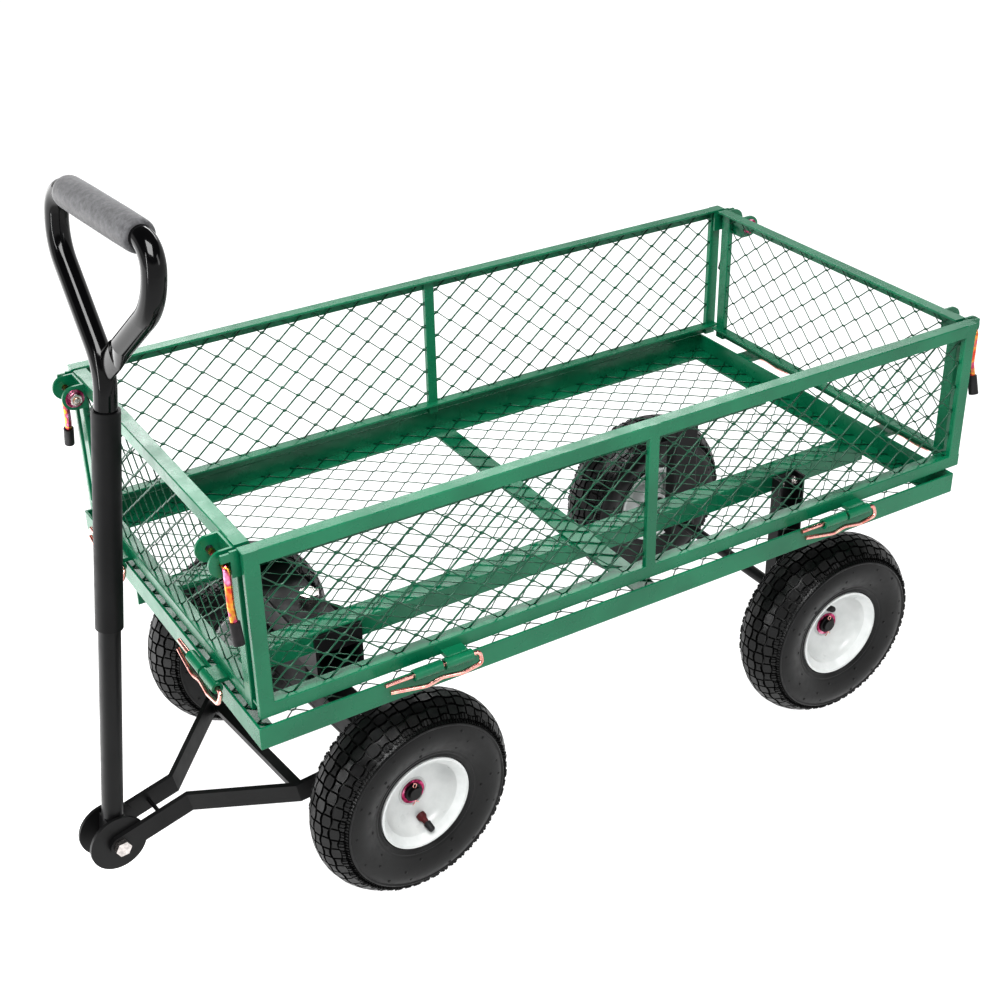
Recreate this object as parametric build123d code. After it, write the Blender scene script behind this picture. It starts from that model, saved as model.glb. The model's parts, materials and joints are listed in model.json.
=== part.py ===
"""Folding garden cart: steel tray with four mesh panels, steered front axle and tow handle.

Millimetres, +Z up, +X towards the tow handle, +Y to the cart's left.
The pieces are placed from the middle of the panels (x, y) and the ground (z), and
everything is moved at the end so that the origin lies under the middle of the whole cart.
"""
from build123d import *
from math import atan2, cos, degrees, radians, sin, sqrt
import os

# ---- driving dimensions -------------------------------------------------------------
panel_length = 980.0        # side panels, end to end
panel_width = 510.0         # over the outer faces of the side panels
panel_height = 198.0
panel_leg = 16.0            # rolled angle of the panels' rails
tray_leg = 27.0             # and of the tray
angle_wall = 3.0
angle_heel_radius = 1.2     # rounding of the angle's outer corner
angle_toe_radius = 0.7      # and of the free edges of its legs
post_width = 17.0           # flat bar of the panels' posts
middle_post_width = 14.0
post_depth = 8.0
post_corner_radius = 1.5
corner_gap = 5.0            # between a side panel and the end panel beside it

tray_step_front = 6.0       # tray beyond the panels at the front
tray_step_rear = -14.0      # and at the rear, where it ends inside them
tray_step_side = 8.0
panel_lift = 5.0            # between the tray's top edge and the panels
panel_above_axle = 215.0

mesh_thickness = 2.0
mesh_setback = 5.0          # panels' outer face to their mesh
seat_gap = 0.3              # left around pieces that are laid in place and welded

beam_inset = 63.5           # hub's inner end to the outer face of the floor beam
beam_flange = 30.0
beam_web = 25.0
cross_member_width = 30.0
cross_member_setback = 20.0

tyre_radius = 129.0
tyre_width = 83.0
tyre_wall = 7.0
tyre_shoulder_drop = 14.0   # tread's outer edge below the crown
tyre_shoulder_inset = 10.5  # and inside the tyre's widest place
rim_flange_radius = 60.0
rim_barrel_radius = 51.0
rim_width = 66.0
rim_wall = 3.0
rim_flare = 7.0             # slope from the bead seat up to the flange
bowl_knee_radius = 30.0     # outside this the bowl curves up to the barrel
bowl_floor = 5.5            # bowl's face there, beyond the wheel's middle plane
bowl_rise = 16.5
bead_gap = 0.3
hub_radius = 17.0
hub_inner_reach = 37.0      # from the wheel's middle plane
hub_outer_reach = 4.5
wheel_inset = 51.5          # panel's outer face to the wheel's middle plane
front_axle_setback = 174.0  # panels' front end to the front axle
rear_axle_setback = 158.0
axle_diameter = 16.0
axle_running_gap = 0.08
axle_hole_gap = 0.2
axle_end = 8.0              # axle beyond the hub
collar_radius = 13.0
collar_length = 5.0
collar_gap = 0.6

leg_width = 40.0            # rear axle legs, along X
leg_depth = 20.0
leg_wall = 3.0
leg_corner_radius = 2.0
leg_below_axle = 17.0

rest_steer = 5.0            # degrees to the left at which the front axle stands
king_bolt_diameter = 16.0
king_bolt_head = 10.0
bolster_lead = 14.0         # middle of the bolster ahead of the king bolt
bolster_wall = 4.0
bolster_width = 60.0
bolster_height = 40.0
turntable_gap = 0.5
turntable_diameter = 110.0
turntable_wall = 5.0
box_corner_radius = 3.0     # outer corners of the box tubes
steering_post_size = 60.0
steering_post_wall = 4.0
axle_beam_width = 40.0
axle_beam_height = 30.0
axle_beam_inset = 38.5      # hub's inner end to the end of the axle beam
axle_beam_lift = 21.0       # axle to the underside of the axle beam
axle_leg_wall = 6.0

bar_height = 26.0           # drawbar flat bars, standing on edge
bar_wall = 6.0
bar_inset = 44.5            # hub's inner end to the middle of the bar beside it
bar_taper = 14.0            # each bar comes in by this before its outer bend
bar_bend_reach = 95.0       # distances ahead of the front axle
bar_nose_reach = 195.0
tie_rod_reach = 230.0
clevis_reach = 287.0
cross_bar_size = 12.0
tie_rod_diameter = 5.0
clevis_drop = 57.0          # clevis below the axle
clevis_side_gap = 1.5       # handle tube to the clevis discs
clevis_disc_radius = 35.0
clevis_disc_wall = 4.0
clevis_bolt_diameter = 12.0

handle_lean = 7.5           # degrees back from upright
handle_tube_diameter = 25.0
handle_tube_wall = 2.0
foot_flattening = 3.0       # handle tube's diameter less the thickness of its foot
foot_top = 34.0
tube_joint = 410.0          # distances along the handle from its pivot
sleeve_start = 283.0
sleeve_end = 542.0
sleeve_wall = 2.85
loop_start = 588.0
loop_shoulder = 690.0
loop_top = 750.0
loop_half_width = 112.0
loop_bend_radius = 28.0
loop_end_width = 33.0       # loop's pressed end, where it is welded to its own shaft
loop_end_thickness = 11.0
loop_end_step = 0.05        # pressed end's start below the round tube's skin
grip_wall = 5.35
sleeve_gap = 0.15

hinge_offset = 15.0         # panel's outer face to its hinge axis
hinge_tube_diameter = 13.0
hinge_bore = 7.0
hinge_tube_length = 34.0
hinge_tube_gap = 4.0
hinge_tab_wall = 5.0
hinge_tab_length = 26.0
side_hinge_inset = 205.0    # panel's end to the middle of its hinge
end_hinge_inset = 92.0
wire_diameter = 5.0

latch_pin_diameter = 8.0
latch_pin_stand = 13.0      # end panel's outer face to the latch pin
latch_pin_drop = 17.0       # below the panels' top
latch_bore_gap = 0.2
ear_wall = 3.0
ear_spacing = 37.0          # over both ears
ear_radius = 15.0
hook_wall = 3.0
hook_gap = 1.0
latch_arm_reach = 8.0       # end panel's end to the middle of the hanging arm
latch_arm_drop = 46.0
latch_arm_splay = 10.0
latch_bend_radius = 7.0
latch_splay_radius = 20.0
latch_arm_end = 34.0
latch_nut_radius = 6.5
latch_nut_height = 6.0
tip_wall = 1.8
tip_length = 24.0

# ---- derived places -----------------------------------------------------------------
half_length = panel_length / 2
half_width = panel_width / 2
end_half_width = half_width - panel_leg - corner_gap
end_width = 2 * end_half_width

axle_z = tyre_radius
panel_z = axle_z + panel_above_axle
panel_top = panel_z + panel_height
latch_z = panel_top - latch_pin_drop

tray_front = half_length + tray_step_front
tray_rear = -half_length - tray_step_rear
tray_half_width = half_width + tray_step_side
tray_top = panel_z - panel_lift
tray_bottom = tray_top - tray_leg
flange_top = tray_bottom + angle_wall
beam_bottom = tray_bottom - beam_web
cross_member_x = (tray_front + tray_rear) / 2 - cross_member_setback

hinge_z = tray_top + panel_lift / 2
side_hinge_x = half_length - side_hinge_inset
end_hinge_y = end_half_width - end_hinge_inset

front_axle_x = half_length - front_axle_setback
rear_axle_x = rear_axle_setback - half_length
wheel_y = half_width - wheel_inset
hub_inner = wheel_y - hub_inner_reach
hub_outer = wheel_y + hub_outer_reach
beam_spread = hub_inner - beam_inset

king_bolt_x = front_axle_x
bolster_x = king_bolt_x + bolster_lead
bolster_bottom = beam_bottom - bolster_height
turntable_top = bolster_bottom - turntable_gap
turntable_bottom = turntable_top - turntable_wall
axle_beam_half = hub_inner - axle_beam_inset
axle_beam_bottom = axle_z + axle_beam_lift
axle_beam_top = axle_beam_bottom + axle_beam_height

clevis_x = front_axle_x + clevis_reach
clevis_z = axle_z - clevis_drop
bar_slope = degrees(atan2(clevis_drop, clevis_reach))
bar_tail = axle_beam_width / 2 + 4
bar_rear_spread = hub_inner - bar_inset
bar_bend_spread = bar_rear_spread - bar_taper
bar_front_spread = handle_tube_diameter / 2 + clevis_side_gap + clevis_disc_wall + bar_wall / 2

handle_pivot = (clevis_x, 0.0, clevis_z)
handle_tube_radius = handle_tube_diameter / 2
sleeve_bore_radius = handle_tube_radius + sleeve_gap
foot_thickness = handle_tube_diameter - foot_flattening
foot_width = handle_tube_diameter - 1


def block(x0, x1, y0, y1, z0, z1):
    """A box between two corners."""
    return Pos((x0 + x1) / 2, (y0 + y1) / 2, (z0 + z1) / 2) * Box(x1 - x0, y1 - y0, z1 - z0)


def rod_x(radius, x0, x1, y, z):
    return Pos((x0 + x1) / 2, y, z) * Rot(0, 90, 0) * Cylinder(radius, x1 - x0)


def rod_y(radius, y0, y1, x, z):
    return Pos(x, (y0 + y1) / 2, z) * Rot(90, 0, 0) * Cylinder(radius, y1 - y0)


def rod_z(radius, z0, z1, x, y):
    return Pos(x, y, (z0 + z1) / 2) * Cylinder(radius, z1 - z0)


def mirror_y(shape):
    return shape.mirror(Plane.XZ)


def both_sides(shape):
    return [shape, mirror_y(shape)]


def strip(points, wall):
    """Outline of a bent flat bar seen edge on: the path moved half a wall each way."""
    left = []
    right = []
    last = len(points) - 1
    for i, (x, y) in enumerate(points):
        before = points[max(i - 1, 0)]
        after = points[min(i + 1, last)]
        turn_in = atan2(y - before[1], x - before[0]) if i > 0 else None
        turn_out = atan2(after[1] - y, after[0] - x) if i < last else None
        first = turn_in if turn_in is not None else turn_out
        second = turn_out if turn_out is not None else turn_in
        middle = (first + second) / 2
        reach = wall / 2 / cos((second - first) / 2)
        left.append((x - sin(middle) * reach, y + cos(middle) * reach))
        right.append((x + sin(middle) * reach, y - cos(middle) * reach))
    return Polygon(*(left + right[::-1]), align=None)


def round_edges(shape, radius, picked):
    """Round the shape's straight edges over 20 mm long whose middle passes the test."""
    return shape.fillet(radius, [e for e in shape.edges() if e.length > 20 and picked(e.center())])


def at(value, *places):
    return any(abs(value - place) < 0.01 for place in places)


# ---- tray ---------------------------------------------------------------------------
def tray_frame():
    half = tray_half_width
    frame = block(tray_rear, tray_front, -half, half, tray_bottom, tray_top)
    frame -= block(tray_rear + angle_wall, tray_front - angle_wall, angle_wall - half,
                   half - angle_wall, flange_top, tray_top + 1)
    frame -= block(tray_rear + tray_leg, tray_front - tray_leg, tray_leg - half,
                   half - tray_leg, tray_bottom - 1, tray_top + 1)

    def on_heel(p):
        return not at(p.Z, tray_top) and (at(abs(p.Y), half) or at(p.X, tray_front, tray_rear))

    def on_toe(p):
        free_edge = at(abs(p.Y), half - tray_leg) or at(p.X, tray_front - tray_leg, tray_rear + tray_leg)
        return at(p.Z, tray_top) or at(p.Z, flange_top) and free_edge

    return round_edges(round_edges(frame, angle_heel_radius, on_heel), angle_toe_radius, on_toe)


def floor_mesh():
    """Sheet of expanded metal on the tray's flange, drawn as a plain plate."""
    half = tray_half_width - angle_wall - seat_gap
    start = tray_rear + angle_wall + seat_gap
    end = tray_front - angle_wall - seat_gap
    return block(start, end, -half, half, flange_top, flange_top + mesh_thickness)


def floor_beam():
    """Left floor beam: an angle with its flange on top, turned inwards."""
    inner = beam_spread - beam_flange
    start = tray_rear + angle_wall
    end = tray_front - angle_wall
    flange = block(start, end, inner, beam_spread, tray_bottom - angle_wall, tray_bottom)
    web = block(start, end, beam_spread - angle_wall, beam_spread, beam_bottom, tray_bottom)

    def on_heel(p):
        return at(p.Y, beam_spread) and at(p.Z, tray_bottom)

    def on_toe(p):
        return at(p.Y, inner) or at(p.Z, beam_bottom)

    return round_edges(round_edges(flange + web, angle_heel_radius, on_heel), angle_toe_radius, on_toe)


def cross_member():
    reach = tray_half_width - tray_leg - seat_gap
    half = cross_member_width / 2
    return block(cross_member_x - half, cross_member_x + half, -reach, reach, tray_bottom, flange_top)


# ---- panels -------------------------------------------------------------------------
def panel_post(middle, width):
    """Upright of flat bar that joins the two rails, its outer face at y = 0."""
    half = width / 2
    post = block(middle - half, middle + half, -post_depth, 0, panel_z, panel_top)
    corners = [e for e in post.edges() if e.length > panel_height / 2]
    return post.fillet(post_corner_radius, corners)


def panel_frame(length, middle_post):
    """Frame with rails of angle: length along X, outer face at y = 0, inside towards -Y."""
    half = length / 2
    frame = panel_post(post_width / 2 - half, post_width) + panel_post(half - post_width / 2, post_width)
    if middle_post:
        frame += panel_post(0, middle_post_width)
    for top in (panel_top, panel_z + panel_leg):
        rail = block(-half, half, -angle_wall, 0, top - panel_leg, top)
        rail += block(-half, half, -panel_leg, 0, top - angle_wall, top)
        heel = [e for e in rail.edges() if e.length > 20 and at(e.center().Y, 0) and at(e.center().Z, top)]
        rail = rail.fillet(angle_heel_radius, heel)
        toes = [e for e in rail.edges() if e.length > 20 and at(e.center().Y, -panel_leg)]
        frame += rail.fillet(angle_toe_radius, toes)
    return frame


def panel_mesh(length, middle_post):
    """Sheets of expanded metal between the posts, drawn as plain plates."""
    outer = length / 2 - post_width - seat_gap
    low = panel_z + panel_leg + seat_gap
    high = panel_top - angle_wall - seat_gap
    back = -mesh_setback - mesh_thickness
    if not middle_post:
        return [block(-outer, outer, back, -mesh_setback, low, high)]
    inner = middle_post_width / 2 + seat_gap
    return [block(inner, outer, back, -mesh_setback, low, high),
            block(-outer, -inner, back, -mesh_setback, low, high)]


def hook_plate():
    """Plate at the front end of the left panel that hooks over the latch pin."""
    y0 = half_width - panel_leg
    y1 = y0 + hook_wall
    pin_x = half_length + latch_pin_stand
    pin_radius = latch_pin_diameter / 2
    root_end = pin_x - pin_radius - hook_gap
    root = block(half_length - post_width, root_end, y0, y1, latch_z - 14, panel_top - angle_wall / 2)
    arm = block(root_end - 1, pin_x + 5, y0, y1, latch_z + pin_radius + hook_gap, panel_top - angle_wall)
    return root + arm


def side_panel_frame():
    frame = Pos(0, half_width, 0) * panel_frame(panel_length, True)
    plate = hook_plate()
    return frame + plate + plate.mirror(Plane.YZ)


def side_panel_mesh():
    return [Pos(0, half_width, 0) * sheet for sheet in panel_mesh(panel_length, True)]


def front_turn(shape):
    """Turn a panel made facing +Y so that it faces +X."""
    return Rot(0, 0, -90) * shape


def front_panel_frame():
    return Pos(half_length, 0, 0) * front_turn(panel_frame(end_width, False))


def front_panel_mesh():
    return [Pos(half_length, 0, 0) * front_turn(sheet) for sheet in panel_mesh(end_width, False)]


def to_rear(shape):
    return shape.mirror(Plane.YZ)


# ---- corner latches -----------------------------------------------------------------
def latch_bracket():
    """U bracket on the left end of the front panel, two ears across the latch pin."""
    pin_x = half_length + latch_pin_stand
    outer = end_half_width
    inner = outer - ear_spacing
    low = latch_z - ear_radius
    high = latch_z + ear_radius
    bracket = block(half_length, half_length + ear_wall, inner, outer, low, high)
    for y0 in (inner, outer - ear_wall):
        bracket += block(half_length, pin_x, y0, y0 + ear_wall, low, high)
        bracket += rod_y(ear_radius, y0, y0 + ear_wall, pin_x, latch_z)
    bracket -= block(half_length - ear_radius, half_length, inner - 1, outer + 1, low - 1, high + 1)
    return bracket - rod_y(latch_pin_diameter / 2 + latch_bore_gap, inner - 1, outer + 1, pin_x, latch_z)


def latch_path():
    pin_x = half_length + latch_pin_stand
    start = end_half_width - ear_spacing - 8
    arm_y = end_half_width + latch_arm_reach
    low = latch_z - latch_arm_drop
    return [(pin_x, start, latch_z), (pin_x, arm_y, latch_z), (pin_x, arm_y, low),
            (pin_x, arm_y + latch_arm_splay, low - latch_arm_end)]


def latch_pin():
    """L-shaped pin through the ears, with a nut on its inner end."""
    points = latch_path()
    line = FilletPolyline(*points, radius=[latch_bend_radius, latch_splay_radius])
    section = Plane(origin=line @ 0, z_dir=line % 0) * Circle(latch_pin_diameter / 2)
    pin = sweep(section, path=line)
    nut_end = end_half_width - ear_spacing - seat_gap
    return pin + rod_y(latch_nut_radius, nut_end - latch_nut_height, nut_end, points[0][0], latch_z)


def latch_tip():
    """Rubber tip over the end of the hanging arm."""
    points = latch_path()
    end = Vector(*points[3])
    along = (end - Vector(*points[2])).normalized()
    base = Plane(origin=end + along * 4, z_dir=-along)
    bore_radius = latch_pin_diameter / 2 + latch_bore_gap
    tip = extrude(base * Circle(bore_radius + tip_wall), tip_length)
    bore = Plane(origin=end + along * seat_gap, z_dir=-along)
    return tip - extrude(bore * Circle(bore_radius), tip_length + 5)


# ---- panel hinges -------------------------------------------------------------------
def hinge_tube(x0, tab_from, tab_z0):
    """Tube along X on the hinge axis y = 0, z = 0, with a tab back to the face at y = tab_from."""
    radius = hinge_tube_diameter / 2
    tube = rod_x(radius, x0, x0 + hinge_tube_length, 0, 0)
    margin = (hinge_tube_length - hinge_tab_length) / 2
    tube += block(x0 + margin, x0 + hinge_tube_length - margin, tab_from, 0, tab_z0,
                  tab_z0 + hinge_tab_wall)
    return tube - rod_x(hinge_bore / 2, x0 - 1, x0 + hinge_tube_length + 1, 0, 0)


def panel_hinge_tube():
    return hinge_tube(-hinge_tube_gap / 2 - hinge_tube_length, -hinge_offset,
                      panel_z - hinge_z + seat_gap)


def tray_hinge_tube(reach):
    return hinge_tube(hinge_tube_gap / 2, -reach, -hinge_tab_wall - panel_lift / 2)


def wire_pin():
    """Straight pin through both tubes with its wire folded back under them."""
    end = hinge_tube_gap / 2 + hinge_tube_length
    drop = Vector(0, 0.35, -0.94)
    route = [(end + 34, 0.0), (-end - 10, 0.0), (-end - 10, 13.0), (-end + 16, 16.0),
             (4.0, 12.5), (end - 14, 16.0), (end + 30, 9.0)]
    points = [Vector(x, 0, 0) + drop * off for x, off in route]
    line = FilletPolyline(*points, radius=[5, 5, 12, 30, 30])
    section = Plane(origin=line @ 0, z_dir=line % 0) * Circle(wire_diameter / 2)
    return sweep(section, path=line)


def side_hinge_places():
    y = half_width + hinge_offset
    return [Pos(side_hinge_x, y, hinge_z), Pos(-side_hinge_x, y, hinge_z)]


def end_hinge_places():
    x = half_length + hinge_offset
    return [Pos(x, end_hinge_y, hinge_z) * Rot(0, 0, -90),
            Pos(x, -end_hinge_y, hinge_z) * Rot(0, 0, -90)]


# ---- rear axle ----------------------------------------------------------------------
def axle_rod(x):
    half = hub_outer + axle_end
    rod = rod_y(axle_diameter / 2, -half, half, x, axle_z)
    collar_end = hub_inner - collar_gap
    collar = rod_y(collar_radius, collar_end - collar_length, collar_end, x, axle_z)
    return rod + collar + mirror_y(collar)


def rear_leg():
    """Left leg of channel from the floor beam down to the axle."""
    x0 = rear_axle_x - leg_width / 2
    x1 = rear_axle_x + leg_width / 2
    y0 = beam_spread
    z0 = axle_z - leg_below_axle
    z1 = tray_bottom - angle_wall
    leg = block(x0, x1, y0, y0 + leg_depth, z0, z1)
    leg -= block(x0 + leg_wall, x1 - leg_wall, y0 + leg_wall, y0 + leg_depth + 1, z0 - 1, z1 + 1)
    leg = round_edges(leg, leg_corner_radius, lambda p: at(p.Y, y0) and at(p.X, x0, x1))
    return leg - rod_y(axle_diameter / 2 + axle_hole_gap, y0 - 1, y0 + leg_depth, rear_axle_x, axle_z)


# ---- steered front axle -------------------------------------------------------------
def square_tube(x0, x1, y0, y1, z0, z1, wall, axis):
    """A box tube between two corners, open at both ends along the named axis."""
    tube = block(x0, x1, y0, y1, z0, z1)
    run = Axis.Y if axis == "y" else Axis.Z
    tube = tube.fillet(box_corner_radius, tube.edges().filter_by(run))
    if axis == "y":
        return tube - block(x0 + wall, x1 - wall, y0 - 1, y1 + 1, z0 + wall, z1 - wall)
    return tube - block(x0 + wall, x1 - wall, y0 + wall, y1 - wall, z0 - 1, z1 + 1)


def front_bolster():
    """Box tube under the floor beams that carries the king bolt, with a tab up each beam."""
    x0 = bolster_x - bolster_width / 2
    x1 = bolster_x + bolster_width / 2
    outer = beam_spread + bolster_wall
    bolster = square_tube(x0, x1, -outer, outer, bolster_bottom, beam_bottom, bolster_wall, "y")
    for tab in both_sides(block(x0, x1, beam_spread, outer, beam_bottom - bolster_wall,
                                tray_bottom - angle_wall)):
        bolster += tab
    return bolster - rod_z(king_bolt_diameter / 2 + axle_hole_gap, bolster_bottom - 1,
                           beam_bottom + 1, king_bolt_x, 0)


def king_bolt():
    nut_height = 13
    nut_top = turntable_bottom - turntable_gap
    shank = rod_z(king_bolt_diameter / 2, nut_top - nut_height - 4, beam_bottom + 5, king_bolt_x, 0)
    head = extrude(Pos(king_bolt_x, 0, beam_bottom) * RegularPolygon(13, 6), king_bolt_head)
    nut = extrude(Pos(king_bolt_x, 0, nut_top - nut_height) * RegularPolygon(13, 6), nut_height)
    return shank + head + nut


def turntable_plate():
    disc = rod_z(turntable_diameter / 2, turntable_bottom, turntable_top, king_bolt_x, 0)
    return disc - rod_z(king_bolt_diameter / 2 + axle_running_gap, turntable_bottom - 1,
                        turntable_top + 1, king_bolt_x, 0)


def steering_post():
    half = steering_post_size / 2
    return square_tube(king_bolt_x - half, king_bolt_x + half, -half, half, axle_beam_top,
                       turntable_bottom, steering_post_wall, "z")


def front_axle_beam():
    half = axle_beam_width / 2
    return square_tube(front_axle_x - half, front_axle_x + half, -axle_beam_half, axle_beam_half,
                       axle_beam_bottom, axle_beam_top, angle_wall, "y")


def front_axle_leg():
    """Left plate from the axle beam down to the axle, just inside the drawbar's bar."""
    half = axle_beam_width / 2
    y1 = bar_rear_spread - bar_wall / 2 - seat_gap
    y0 = y1 - axle_leg_wall
    leg = block(front_axle_x - half, front_axle_x + half, y0, y1, axle_z - leg_below_axle,
                axle_beam_bottom)
    return leg - rod_y(axle_diameter / 2 + axle_hole_gap, y0 - 1, y1 + 1, front_axle_x, axle_z)


def on_drawbar(shape):
    """Tilt a shape drawn along the drawbar (x from the axle, z across it) into place."""
    return Pos(front_axle_x, 0, axle_z) * Rot(0, bar_slope, 0) * shape


def along_bar(reach):
    """Distance along the sloping drawbar of a point this far ahead of the axle."""
    return reach / cos(radians(bar_slope))


def drawbar_bar():
    """Left flat bar from the axle to the clevis, bent twice."""
    nose = along_bar(clevis_reach)
    path = [(-bar_tail, bar_rear_spread), (bar_tail, bar_rear_spread),
            (along_bar(bar_bend_reach), bar_bend_spread),
            (along_bar(bar_nose_reach), bar_front_spread), (nose, bar_front_spread)]
    outline = Pos(0, 0, -bar_height / 2) * strip(path, bar_wall)
    bar = extrude(outline, bar_height, dir=(0, 0, 1))
    low = bar_front_spread - bar_wall / 2
    bar += rod_y(bar_height / 2, low, low + bar_wall, nose, 0)
    bolt_hole = rod_y(clevis_bolt_diameter / 2 + axle_hole_gap, 0, bar_rear_spread, nose, 0)
    axle_hole = rod_y(axle_diameter / 2 + axle_hole_gap, bar_front_spread, bar_rear_spread * 2, 0, 0)
    return on_drawbar(bar - bolt_hole - axle_hole)


def drawbar_cross_bar():
    """Square bar across the two drawbar bars, just behind their outer bends."""
    half = bar_bend_spread - bar_wall / 2 - 1
    x1 = along_bar(bar_bend_reach)
    low = -bar_height / 2
    bar = block(x1 - cross_bar_size, x1, -half, half, low, low + cross_bar_size)
    return on_drawbar(bar)


def drawbar_tie_rod():
    half = bar_front_spread - bar_wall / 2
    return on_drawbar(rod_y(tie_rod_diameter / 2, -half, half, along_bar(tie_rod_reach), 0))


def clevis_disc():
    y1 = bar_front_spread - bar_wall / 2
    disc = rod_y(clevis_disc_radius, y1 - clevis_disc_wall, y1, clevis_x, clevis_z)
    hole = rod_y(clevis_bolt_diameter / 2 + axle_hole_gap, y1 - clevis_disc_wall - 1, y1 + 1,
                 clevis_x, clevis_z)
    return disc - hole


def clevis_bolt():
    face = bar_front_spread + bar_wall / 2 + seat_gap
    bolt = rod_y(clevis_bolt_diameter / 2, -face - 14, face + 4, clevis_x, clevis_z)
    facing = Pos(clevis_x, face, clevis_z) * Rot(-90, 0, 0)
    bolt += extrude(facing * RegularPolygon(10, 6), 7)
    nut = Pos(clevis_x, -face, clevis_z) * Rot(90, 0, 0)
    return bolt + extrude(nut * RegularPolygon(10, 6), 10)


# ---- tow handle ---------------------------------------------------------------------
def on_handle(shape):
    """Place a shape drawn with the handle upright over its pivot."""
    return Pos(*handle_pivot) * Rot(0, -handle_lean, 0) * shape


def handle_lower_tube():
    """Straight tube with a flattened foot around the clevis bolt."""
    tube = rod_z(handle_tube_radius, foot_top - 8, tube_joint, 0, 0)
    tube -= rod_z(handle_tube_radius - handle_tube_wall, foot_top, tube_joint + 1, 0, 0)
    half = foot_width / 2
    tube += block(-half, half, -foot_thickness / 2, foot_thickness / 2, 0, foot_top - 4)
    tube += rod_y(half, -foot_thickness / 2, foot_thickness / 2, 0, 0)
    bore = rod_y(clevis_bolt_diameter / 2 + axle_running_gap, -foot_thickness, foot_thickness, 0, 0)
    return on_handle(tube - bore)


def handle_sleeve():
    tube = rod_z(sleeve_bore_radius + sleeve_wall, sleeve_start, sleeve_end, 0, 0)
    return on_handle(tube - rod_z(sleeve_bore_radius, sleeve_start - 1, sleeve_end + 1, 0, 0))


def loop_sweep(radius, points, radii):
    line = FilletPolyline(*points, radius=radii)
    section = Plane(origin=line @ 0, z_dir=line % 0) * Circle(radius)
    return sweep(section, path=line)


def handle_loop():
    """Upper tube bent into a loop whose end is welded back to its own shaft."""
    w = loop_half_width
    bend = loop_bend_radius
    back = 0.4                  # how far up the rising run the round tube ends
    end = (0, w * back, loop_start + (loop_shoulder - loop_start) * back)
    route = [(0, 0, tube_joint + 0.3), (0, 0, loop_start), (0, -w, loop_shoulder), (0, -w, loop_top),
             (0, w, loop_top), (0, w, loop_shoulder), end]
    radii = [60, 60, bend, bend, 60]
    loop = loop_sweep(handle_tube_radius, route, radii)
    run = Edge.make_line(end, (0, 4, loop_start + 4))
    along = run % 0
    across = (0, -along.Z, along.Y)
    round_end = Plane(origin=run @ 0, x_dir=across, z_dir=along) * Circle(
        handle_tube_radius - loop_end_step)
    pressed_end = Plane(origin=run @ 0.5, x_dir=across, z_dir=along) * Ellipse(
        loop_end_width / 2, loop_end_thickness / 2)
    loop += loft([round_end, pressed_end])
    loop += extrude(pressed_end, run.length / 2)
    loop -= loop_sweep(handle_tube_radius - handle_tube_wall, route, radii)
    return on_handle(loop)


def handle_grip():
    reach = loop_half_width - loop_bend_radius
    grip = rod_y(sleeve_bore_radius + grip_wall, -reach, reach, 0, loop_top)
    return on_handle(grip - rod_y(sleeve_bore_radius, -reach - 1, reach + 1, 0, loop_top))


# ---- wheels -------------------------------------------------------------------------
def tyre():
    """Hollow tyre around the Y axis, its middle plane at y = 0."""
    w = tyre_width / 2
    bead = rim_width / 2 - rim_wall - bead_gap
    seat = rim_barrel_radius + bead_gap
    foot = bead - rim_flare - bead_gap
    top = tyre_radius
    widest = (seat + top) / 2 + 4
    shoulder = (top - tyre_shoulder_drop, w - tyre_shoulder_inset)
    with BuildSketch(Plane.XY) as section:
        with BuildLine():
            a = Polyline((seat, -foot), (seat + rim_flare, -bead), (seat + 12, -bead))
            b = Spline(a @ 1, (widest, -w), (shoulder[0], -shoulder[1]), tangents=[(0.7, -0.7), (0.75, 0.65)])
            c = ThreePointArc(b @ 1, (top, 0), shoulder)
            d = Spline(c @ 1, (widest, w), (seat + 12, bead), tangents=[(-0.75, 0.65), (-0.7, -0.7)])
            Polyline(d @ 1, (seat + rim_flare, bead), (seat, foot), a @ 0)
        make_face()
        with BuildLine():
            inner = w - tyre_wall
            heel = foot - tyre_wall + 1
            f = Line((seat - 1, -heel), (seat + 14, -bead + 9))
            g = Spline(f @ 1, (widest, -inner), (top - tyre_wall - 10, -inner + 9), (top - tyre_wall - 4, 0),
                       (top - tyre_wall - 10, inner - 9), (widest, inner), (seat + 14, bead - 9))
            h = Line(g @ 1, (seat - 1, heel))
            Line(h @ 1, f @ 0)
        make_face(mode=Mode.SUBTRACT)
    return revolve(section.sketch, Axis.Y, 360)


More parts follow.
